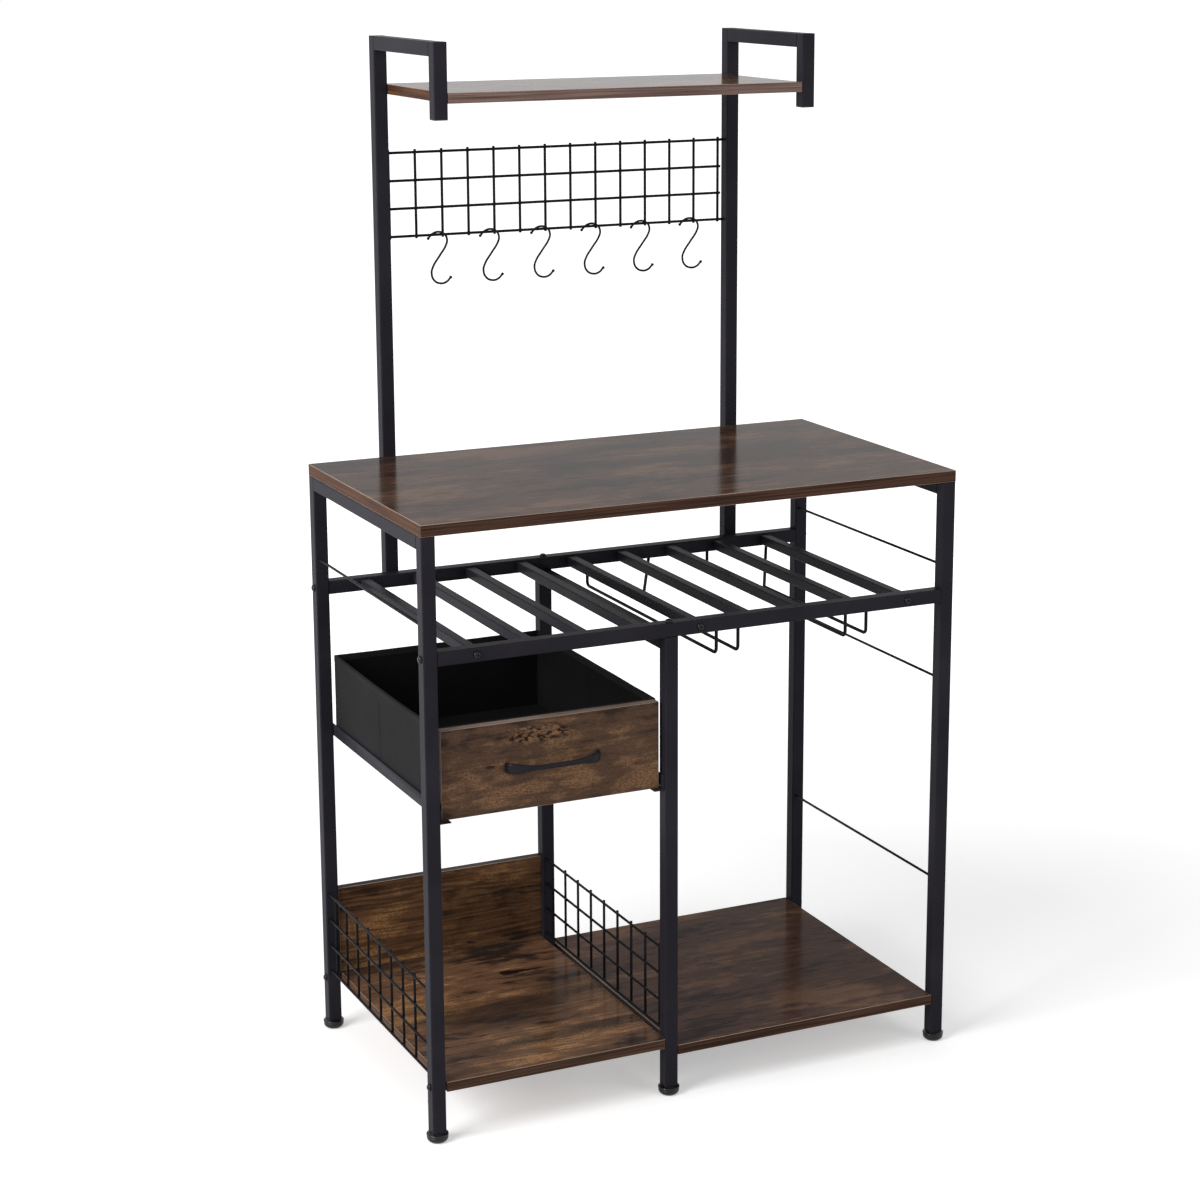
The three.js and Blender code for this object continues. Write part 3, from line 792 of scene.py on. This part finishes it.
along_x = (6.0, 60.0, 620.0)
along_y = (60.0, 6.0, 620.0)
walnut_long = edge_band("walnut_band_long", along_x, (42, 29, 23), (86, 61, 49))
walnut_short = edge_band("walnut_band_short", along_y, (48, 31, 23), (94, 62, 43))
walnut_low = edge_band("walnut_band_low", along_y, (28, 20, 18), (52, 37, 31))
# The upper shelf's long band is painted lighter than the other walnut bands: painted light for the
# stronger light on its front edge.
upper_band_painted_light = edge_band("upper_shelf_band_painted_light", along_x, (90, 71, 65), (138, 113, 106))
rustic_long = edge_band("rustic_band_long", along_x, (48, 34, 27), (86, 63, 50))
rustic_short = edge_band("rustic_band_short", along_y, (62, 42, 30), (112, 78, 54))
smoky_long = edge_band("smoky_band_long", along_x, (34, 28, 27), (66, 54, 50))
glue_line = grained(
    "glue_line", paint(132, 112, 96), paint(158, 136, 116),
    grains=500, roughness=0.4, depth=0.02 * mm, gloss=0.5)
walnut = {
    "dark": paint(44, 34, 31), "middle": paint(71, 52, 44), "light": paint(98, 72, 56),
    "knot": paint(31, 24, 23), "lightness": 0.01, "knots": 0.4, "rings": 0.12, "flecks": 0.2,
    "bands": 0.55, "mottle": 0.4, "grain": 0.7}
pale_walnut = {
    **walnut, "dark": paint(51, 39, 36), "middle": paint(82, 60, 51), "light": paint(112, 83, 65)}
rustic = {
    "dark": paint(50, 39, 34), "middle": paint(112, 81, 60), "light": paint(158, 118, 82),
    "knot": paint(27, 20, 20), "lightness": 0.02, "knots": 0.95, "rings": 0.15, "flecks": 1.8,
    "bands": 0.75, "mottle": 0.35, "grain": 0.9}
ringed = {
    **rustic, "rings": 0.55, "bands": 0.4, "dark": paint(50, 37, 29), "middle": paint(98, 70, 49),
    "light": paint(140, 103, 68)}


def board(name, node, decor, edges, body="frame"):
    """A laminated board: thin rounded edges, faces in the decor, and bands on the edges."""
    low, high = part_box(node)
    made = block(name, low, high)
    round_edges(made, board_edge, edge_segments)
    start_clean()
    sides = high - low
    flat = min(range(3), key=lambda i: sides[i])
    for material in (decor, *edges, glue_line):
        made.data.materials.append(material)
    for face in made.data.polygons:
        facing = [abs(value) > face_on for value in face.normal]
        if facing[flat]:
            face.material_index = 0
        elif facing[0]:
            face.material_index = 2
        elif any(facing) or abs(face.normal[flat]) <= glue_tilt:
            face.material_index = 1
        else:
            face.material_index = 3
    smooth(made)
    flat_sides(made)
    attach(made, body)
    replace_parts(made, node)
    return made


for node, slot, shift, decor, edges in (
        ("worktop", "walnut_board", (0, 0, 0), walnut, (walnut_long, walnut_short)),
        ("upper_shelf", "walnut_board", (3.1, 1.7, 0.4), walnut, (upper_band_painted_light, walnut_short)),
        ("lower_shelf_right", "walnut_board", (5.3, 2.2, 1.9), pale_walnut,
         (walnut_long, walnut_low)),
        ("lower_shelf_left", "rustic_board", (7.4, 3.3, 2.6), rustic, (rustic_long, rustic_short)),
        ("back_board", "rustic_board", (1.2, 6.1, 4.8), ringed, (smoky_long, rustic_short))):
    printed = laminate(f"{node}_{slot.removesuffix('_board')}", shift=shift, **decor)
    made = board(node + "_board", node, printed, edges)

# Hutch
# Two uprights of the same tube stand behind the worktop; an arm is welded to the top of each
# and a short drop to the arm's front, and the upper shelf lies between them.
weld_gap = 0.3 * mm
plug_lip = 1.5 * mm
plug_edge = 0.6 * mm
plug_rise = 10 * mm
near = 0.1 * mm


def end_plug(name, place):
    """A moulded plug in the open lower end of a tube, its lip flush with the walls."""
    half = tube / 2
    made = block(name, place - Vector((half, half, 0)), place + Vector((half, half, plug_lip)))
    round_edges(made, tube_corner, corner_segments, lambda a, b: abs(a.z - b.z) > plug_lip / 2)
    pick_top(made)
    bpy.ops.mesh.inset(thickness=tube_corner)
    bpy.ops.mesh.extrude_region_move(TRANSFORM_OT_translate={"value": (0, 0, plug_rise)})
    round_edges(made, plug_edge, edge_segments, lambda a, b: max(a.z, b.z) < place.z + near)
    smooth(made)
    made.data.materials.append(foot_plastic)
    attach(made, "frame")


for side in ("left", "right"):
    node = "upright_" + side
    low, high = tube_box(node, [("y", "+")])
    square_tube(node + "_tube", low + Vector((0, 0, plug_lip)), high, node=node)
    middle = (low + high) / 2
    end_plug("upright_plug_" + side, Vector((middle.x, middle.y, low.z)))
    node = "hutch_arm_" + side
    low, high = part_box(node)
    drop_back = low.y + tube
    tube_low = Vector((low.x, drop_back + weld_gap, high.z - tube))
    square_tube(node + "_drop", low + Vector((0, 0, plug_lip)), Vector((high.x, drop_back, high.z)))
    square_tube(node + "_tube", tube_low, high, node=node)
    end_plug(node + "_plug", Vector(((low.x + high.x) / 2, (low.y + drop_back) / 2, low.z)))

# Hook grid
# A grid of drawn wire, spot-welded at each crossing, hangs between the uprights; only its top
# and bottom wires reach them.
grid_wire = 4.4 * mm
grid_rows = 4
grid_columns = 14
grid_row_pitch = 44.4 * mm
grid_overrun = 4.5 * mm
grid_row_overrun = 2.6 * mm
grid_left = 3.7 * mm
grid_right = 9.7 * mm
wire_clear = 0.3 * mm
low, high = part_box("hook_grid")
row_y = low.y + grid_wire / 2
column_y = row_y + grid_wire - net_weld
grid_start = low.x - wire_clear + grid_left
grid_end = high.x + wire_clear - grid_right
grid_pitch = (grid_end - grid_start) / (grid_columns - 1)
grid_base = low.z + grid_overrun
rods = []
for row in range(grid_rows):
    outer = row in (0, grid_rows - 1)
    start = low.x if outer else grid_start - grid_row_overrun
    end = high.x if outer else grid_end + grid_row_overrun
    z = grid_base + row * grid_row_pitch
    rods.append(wire_rod(Vector((start, row_y, z)), Vector((end, row_y, z)), grid_wire))
for column in range(grid_columns):
    x = grid_start + column * grid_pitch
    rods.append(wire_rod(Vector((x, column_y, low.z)), Vector((x, column_y, high.z)), grid_wire))
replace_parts(welded("hook_grid_rods", rods), "hook_grid")

# S-hooks
# Each hook is thin wire bent to an S, lacquered black, with a small ball pressed on both ends.
# Its line is given from its top, in millimetres.
hook_lacquer = grained(
    "hook_lacquer", wire_black, wire_worn, grains=300, roughness=0.4, depth=0.01 * mm, gloss=0.1)
hook_wire = 3.6 * mm
hook_ball = 5 * mm
hook_turn = radians(-28)
hook_top = 4.4
hook_line = [
    (-17.7, -10.9), (-10.4, -3.1), (0, 0), (8.9, -3.8), (12.8, -12.4), (10.9, -21.2), (0.2, -38.7),
    (-10.6, -56.4), (-13.2, -67.0), (-8.6, -79.1), (1.4, -83.3), (10.6, -80.7), (17.7, -73.1)]
hook_steps = 6
hook_rounding = 3
ball_sides = 16
ball_rings = 10
smooth_bow = 60
start_clean()
bpy.ops.curve.primitive_bezier_curve_add()
hook = bpy.context.object
line = hook.data.splines[0]
line.bezier_points.add(len(hook_line) - 2)
for point, (x, z) in zip(line.bezier_points, hook_line):
    point.co = Vector((x, 0, hook_top + z)) * mm
    point.handle_left_type = "AUTO"
    point.handle_right_type = "AUTO"
line.resolution_u = hook_steps
hook.data.bevel_depth = hook_wire / 2
hook.data.bevel_resolution = hook_rounding
hook.data.use_fill_caps = True
bpy.ops.object.convert(target="MESH")
merge()
balls = []
for x, z in (hook_line[0], hook_line[-1]):
    start_clean()
    bpy.ops.mesh.primitive_uv_sphere_add(
        segments=ball_sides, ring_count=ball_rings, radius=hook_ball / 2,
        location=(x * mm, 0, (hook_top + z) * mm))
    balls.append(bpy.context.object)
hook = joined("hook_pattern", [hook, *balls])
hook.rotation_euler.z = hook_turn
settle(hook)
smooth(hook, smooth_bow)
hook.data.materials.append(hook_lacquer)
for joint in frame["joints"]:
    if joint["name"].startswith("hook_"):
        node = joint["name"].removesuffix("_swing")
        made = copied(hook, node + "_bent", Vector(joint["pos_m"]))
        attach(made, joint["child"])
        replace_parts(made, node)
bpy.data.objects.remove(hook)

# Bolts
# Button-head screws with a hexagon socket hold the legs, rails, uprights and boards together;
# each bears on the tube with a thin flange, and its root lies inside the tube's wall.
bolt_steel = grained(
    "bolt_steel", (0.0055, 0.0055, 0.006, 1), (0.012, 0.012, 0.013, 1),
    grains=500, roughness=0.14, depth=0.01 * mm, gloss=0.2)
bolt_root = -1.5
bolt_top = 4.0
bolt_outline = [
    (0, bolt_root), (5.6, bolt_root), (5.8, 0.0), (6.0, 0.35), (6.0, 0.9), (5.5, 2.2), (4.6, 3.2),
    (3.6, 3.8), (3.2, bolt_top), (0, bolt_top)]
socket_width = 3.9 * mm
socket_depth = 2.4 * mm
smooth_bolt = 35
bolted_slats = (1, 5, 9)
bolt = turned_shape("bolt_pattern", bolt_outline)
start_clean()
bpy.ops.mesh.primitive_cylinder_add(
    vertices=6, radius=socket_width / 2, depth=2 * socket_depth, location=(0, 0, bolt_top * mm))
socket = bpy.context.object
modified(bolt, "BOOLEAN", operation="DIFFERENCE", object=socket)
bpy.data.objects.remove(socket)
smooth(bolt, smooth_bolt)
bolt.data.materials.append(bolt_steel)


def place_bolt(name, place, direction):
    """A bolt head on a face, its top turned outwards."""
    made = copied(bolt, name, place, Vector(direction).to_track_quat("Z", "Y").to_euler())
    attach(made, "frame")


rail_z = middle_of("rack_slat_1").z
for side, out_x in (("left", -1), ("right", 1)):
    shelf_z = middle_of("lower_shelf_" + side).z
    for end in ("front", "rear"):
        low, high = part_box(f"leg_{end}_{side}")
        face = high.x - tube if out_x < 0 else low.x + tube
        y = (low.y + high.y) / 2
        for what, z in (("rack", rail_z), ("shelf", shelf_z)):
            place_bolt(f"bolt_{what}_{end}_{side}", Vector((face, y, z)), (out_x, 0, 0))
    low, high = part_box("upright_" + side)
    x = (low.x + high.x) / 2
    for what, z in (("rack", rail_z), ("worktop", middle_of("worktop").z)):
        place_bolt(f"bolt_{what}_upright_{side}", Vector((x, low.y + tube, z)), (0, 1, 0))
for end, out_y in (("front", -1), ("rear", 1)):
    low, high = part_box("rack_rail_" + end)
    face = high.y - tube if out_y < 0 else low.y + tube
    for number in bolted_slats:
        place = Vector((middle_of(f"rack_slat_{number}").x, face, rail_z))
        place_bolt(f"bolt_slat_{number}_{end}", place, (0, out_y, 0))
    place = middle_of(f"leg_{end}_middle")
    place.z = low.z + tube
    place_bolt(f"bolt_leg_{end}_middle", place, (0, 0, 1))
bpy.data.objects.remove(bolt)

# Drawer runners
# Sheet steel folded to an angle is screwed to the legs on both sides of the drawer; its lip
# carries the box, and a turned-in tab closes its front end.
fold_radius = 0.5 * mm
tab_lift = 4.6 * mm
tab_reach = 3 * mm
tab_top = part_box("drawer_runner_left")[0].z + tab_reach
flat_within = radians(1)
for side in ("left", "right"):
    node = "drawer_runner_" + side
    take_up(frame["nodes"][node])
    bpy.ops.object.duplicate()
    made = bpy.context.object
    made.name = node + "_sheet"
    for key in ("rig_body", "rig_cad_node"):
        if key in made:
            del made[key]
    merge()
    bpy.ops.mesh.dissolve_limited(angle_limit=flat_within)
    pick_faces(made, lambda middle, normal: middle.z < tab_top)
    bpy.ops.transform.translate(value=(0, 0, tab_lift))
    modified(made, "BEVEL", width=fold_radius, segments=edge_segments)
    smooth(made)
    made.data.materials.clear()
    made.data.materials.append(powder_coat)
    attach(made, "frame")
    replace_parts(made, node)

# Drawer box
# Black non-woven fabric is sewn over stiff card panels, which meet at a seam in each side. The
# rim has a folded hem with two rows of stitches, and a covered card lies on the floor.
fabric_black = paint(28, 28, 29)
fabric_worn = paint(37, 37, 39)
# Darker fabric for the inside walls and the floor card: painted shade for the dark inside of the
# box.
inside_painted_shade = paint(13, 13, 14)
inside_painted_shade_rubbed = paint(19, 19, 20)
felt_grains = 1500.0
felt_roughness = 0.92
felt_dimples = 700.0
felt_depth = 0.25 * mm
felt_bump = 0.7
felt_gloss = 0.12
box_wall = 4 * mm
box_corner = 3 * mm
box_segments = 3
weave_step = 9 * mm
hem_height = 9 * mm
hem_proud = 0.5 * mm
seam_share = 0.53
seam_half = 1.6 * mm
seam_depth = 1.0 * mm
seam_end = 1 * mm
wall_bow = 1.6 * mm
wall_from = 0.95
rim_sag = 1.2 * mm
crumple = 1.0 * mm
crumple_size = 70 * mm
crumple_detail = 2


def fabric(name, colour, worn):
    """Non-woven fabric: matt, with fine pressed dimples."""
    made, tree, shader, places = new_material(name)
    fine = grain_of(tree, places, colour, worn, felt_grains, felt_roughness)
    dimples = shader_node(
        tree, "TexVoronoi", {"Vector": places, "Scale": felt_dimples}, feature="F1")
    felt = shader_node(
        tree, "Math", {0: fine["Height"], 1: dimples.outputs["Distance"]}, operation="ADD")
    finish = {**dict(fine.items()), "Height": felt.outputs[0]}
    surface(tree, shader, finish, felt_depth, felt_bump, felt_gloss)
    return made


cloth = fabric("box_fabric", fabric_black, fabric_worn)
painted_shade_fabric = fabric("box_painted_shade_inside", inside_painted_shade, inside_painted_shade_rubbed)

low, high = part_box("drawer_box")
box_low, box_high = low, high
rim = high.z - hem_proud
hem_low = rim - hem_height
seam_y = low.y + (high.y - low.y) * seam_share
seam_cuts = [seam_y - seam_half, seam_y, seam_y + seam_half]
folds = bpy.data.textures.new("box_folds", "CLOUDS")
folds.noise_scale = crumple_size
folds.noise_depth = crumple_detail


def cut_across(axis, places):
    """In edit mode, cut the piece by planes square to one axis."""
    square = Vector([float(i == axis) for i in range(3)])
    for place in places:
        bpy.ops.mesh.select_all(action="SELECT")
        bpy.ops.mesh.bisect(plane_co=square * place, plane_no=square)


def even_cuts(start, end):
    """Places a weave step apart between two ends."""
    count = int((end - start) / weave_step)
    return [start + (end - start) * (i + 1) / (count + 1) for i in range(count)]


def press_seam(piece, test, push):
    """In edit mode, push in the points of the seam's middle line that pass a test."""
    pick(piece, "VERT", lambda point: abs(point.co.y - seam_y) < near and test(point.co))
    bpy.ops.transform.translate(value=push)


def crumpled(piece, strength):
    """Make a fabric face slightly uneven."""
    modified(piece, "DISPLACE", texture=folds, texture_coords="LOCAL", strength=strength)


def bowed(piece):
    """Bow the box's walls outwards and let its rim sag between the corners."""
    centre = (box_low + box_high) / 2
    half = (box_high - box_low) / 2
    for vertex in piece.data.vertices:
        spot = vertex.co
        lift = (spot.z - box_low.z) / (2 * half.z)
        x_share = (spot.x - centre.x) / half.x
        y_share = (spot.y - centre.y) / half.y
        if abs(x_share) > wall_from:
            give = lift * max(1 - y_share ** 2, 0)
            spot.x += wall_bow * give * (1 if x_share > 0 else -1)
            spot.z -= rim_sag * give
        elif y_share > wall_from:
            give = lift * max(1 - x_share ** 2, 0)
            spot.y += wall_bow * give
            spot.z -= rim_sag * give


def in_fabric(piece, material=cloth):
    """Give a piece of the box its fabric, body and slot."""
    smooth(piece)
    piece.data.materials.append(material)
    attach(piece, "drawer")


shell = block("drawer_box_shell", low, (high.x, high.y, rim))
round_edges(shell, box_corner, box_segments, lambda a, b: abs(a.z - b.z) > (high.z - low.z) / 2)
pick_top(shell)
bpy.ops.mesh.inset(thickness=box_wall)
bpy.ops.mesh.extrude_region_move(TRANSFORM_OT_translate={"value": (0, 0, low.z - rim + box_wall)})
cut_across(0, even_cuts(low.x + box_wall, high.x - box_wall))
cut_across(1, even_cuts(low.y + box_wall, high.y - box_wall))
cut_across(1, seam_cuts)
cut_across(2, even_cuts(low.z + box_wall, hem_low) + [hem_low])
pick_faces(shell, lambda middle, normal: middle.z > hem_low)
bpy.ops.mesh.extrude_region_shrink_fatten(TRANSFORM_OT_shrink_fatten={"value": hem_proud})
for side, wall_x in ((1, low.x), (-1, low.x + box_wall), (-1, high.x), (1, high.x - box_wall)):
    press_seam(
        shell,
        lambda spot: abs(spot.x - wall_x) < near and low.z + seam_end < spot.z < hem_low - seam_end,
        (side * seam_depth, 0, 0))
seal()
start_clean()
bowed(shell)
crumpled(shell, crumple)
in_fabric(shell)
# The inside walls and floor take the darker fabric, which is painted shade.
shell.data.materials.append(painted_shade_fabric)
for face in shell.data.polygons:
    spot = face.center
    within_x = low.x + box_wall / 2 < spot.x < high.x - box_wall / 2
    within_y = low.y + box_wall / 2 < spot.y < high.y - box_wall / 2
    if within_x and within_y and low.z + box_wall / 2 < spot.z < hem_low:
        face.material_index = 1
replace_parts(shell, "drawer_box")

# Floor card
# A stiff card, covered in the darker fabric that is painted shade for the inside of the box,
# lies loose on the floor of the box, creased where it folds when the box is put away flat.
card_thick = 2.6 * mm
card_corner = 5 * mm
card_slack = 3.5 * mm
card_gap = 0.6 * mm
inner = box_wall + card_slack
card_z = low.z + box_wall + card_gap
card = block(
    "drawer_box_card", (low.x + inner, low.y + inner, card_z),
    (high.x - inner, high.y - inner, card_z + card_thick))
round_edges(card, card_corner, corner_segments, lambda a, b: abs(a.z - b.z) > card_thick / 2)
pick_top(card)
bpy.ops.mesh.inset(thickness=card_corner)
cut_across(0, even_cuts(low.x + inner, high.x - inner))
cut_across(1, even_cuts(low.y + inner, high.y - inner) + seam_cuts)
press_seam(card, lambda spot: spot.z > card_z + card_thick / 2, (0, 0, -seam_depth))
crumpled(card, crumple / 2)
# The card takes the darker fabric: painted shade.
in_fabric(card, painted_shade_fabric)

# Stitches
# Black thread runs in two rows round the hem and down beside each side seam.
stitch_length = 3.2 * mm
stitch_pitch = 4.8 * mm
stitch_thick = 0.8 * mm
stitch_edge = 0.28 * stitch_thick
stitch_drops = (3.4 * mm, 6.6 * mm)
seam_stitch = 3.4 * mm
thread_lift = 0.05 * mm
thread = grained(
    "sewing_thread", paint(38, 38, 40), paint(52, 52, 54),
    grains=900, roughness=0.7, depth=0.02 * mm, gloss=0.2)
outer = hem_proud + thread_lift


def stitch_row(start, run, length):
    """A row of stitches from a start along a direction."""
    half = Vector([stitch_length / 2 if value else stitch_thick / 2 for value in run])
    stitch = block("stitch", start - half, start + half)
    round_edges(stitch, stitch_edge, 1)
    modified(
        stitch, "ARRAY", use_relative_offset=False, use_constant_offset=True,
        constant_offset_displace=Vector(run) * stitch_pitch, count=int(length / stitch_pitch))
    return stitch


rows = []
clear = box_corner + stitch_length
side_run = high.y - low.y - 2 * clear
rear_run = high.x - low.x - 2 * clear
drop_run = hem_low - low.z - 2 * clear
for drop in stitch_drops:
    z = high.z - drop
    for x in (low.x - outer, high.x + outer):
        rows.append(stitch_row(Vector((x, low.y + clear, z)), (0, 1, 0), side_run))
    rows.append(stitch_row(Vector((low.x + clear, high.y + outer, z)), (1, 0, 0), rear_run))
for x in (low.x - thread_lift, high.x + thread_lift):
    for y in (seam_y - seam_stitch, seam_y + seam_stitch):
        rows.append(stitch_row(Vector((x, y, low.z + clear)), (0, 0, 1), drop_run))
stitches = joined("drawer_box_stitches", rows)
bowed(stitches)
smooth(stitches)
stitches.data.materials.append(thread)
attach(stitches, "drawer")

# Drawer front
# A laminated board is screwed to the front of the fabric box; its print has a scar of dark
# bark lines above the handle.
low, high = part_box("drawer_front")
scar_share = (0.43, 0.17)
scar = (
    low.x + scar_share[0] * (high.x - low.x), low.y, high.z - scar_share[1] * (high.z - low.z))
calm = {
    **rustic, "dark": paint(58, 46, 41), "middle": paint(88, 67, 54), "light": paint(116, 88, 66),
    "flecks": 1.4, "mottle": 0.55, "grain": 0.55, "bands": 0.5, "knots": 0.7}
decor = laminate("drawer_rustic", shift=(2.2, 4.9, 8.7), scar=scar, **calm)
# The drawer front's top and bottom edges are painted pale: a painted highlight along its top edge.
drawer_band_painted_highlight = edge_band("drawer_front_band_highlight", along_x, (112, 94, 84), (150, 130, 116))
edges = (drawer_band_painted_highlight, rustic_short)
front = board("drawer_front_board", "drawer_front", decor, edges, "drawer")

# Handle
# A cast bow handle, sprayed black, swings out from two broad feet that are screwed on from
# behind the drawer front, and narrows towards its middle.
bow_thick = 6 * mm
bow_bend = 14 * mm
bow_step = 4 * mm
foot_height = 17.2
middle_height = 8
broad_until = 0.42
squareness = 0.6
bow_line = [
    (-1, 0), (-0.98, 0.45), (-0.76, 0.82), (-0.34, 0.99), (0.34, 0.99), (0.76, 0.82), (0.98, 0.45),
    (1, 0)]
handle_coat = grained(
    "handle_coat", (0.0085, 0.0078, 0.0105, 1), (0.013, 0.012, 0.0155, 1),
    grains=500, roughness=0.38, depth=0.02 * mm, gloss=0.1)
low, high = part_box("drawer_handle")
centre = (low + high) / 2
half_span = (high.x - low.x) / 2 - bow_thick / 2
reach = high.y - low.y - bow_thick / 2
corners = [
    Vector((centre.x + across * half_span, high.y - out * reach, centre.z))
    for across, out in bow_line]
handle = bent_wire("drawer_handle_bow", corners, bow_thick, bow_bend)
bpy.ops.object.mode_set(mode="EDIT")
steps = int(2 * half_span / bow_step)
cut_across(0, [centre.x + half_span * (2 * i / steps - 1) for i in range(1, steps)])
start_clean()
for vertex in handle.data.vertices:
    share = min(abs(vertex.co.x - centre.x) / half_span, 1)
    broad = max(share - broad_until, 0) / (1 - broad_until)
    broad = broad * broad * (3 - 2 * broad)
    height = middle_height + (foot_height - middle_height) * broad
    rise = 2 * (vertex.co.z - centre.z) / bow_thick
    squared = min(abs(rise), 1) ** squareness
    vertex.co.z = centre.z + (squared if rise > 0 else -squared) * height / 2 * mm
modified(handle, "SUBSURF", levels=1)
smooth(handle, smooth_bow)
handle.data.materials.append(handle_coat)
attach(handle, "drawer")
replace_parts(handle, "drawer_handle")

start_clean()
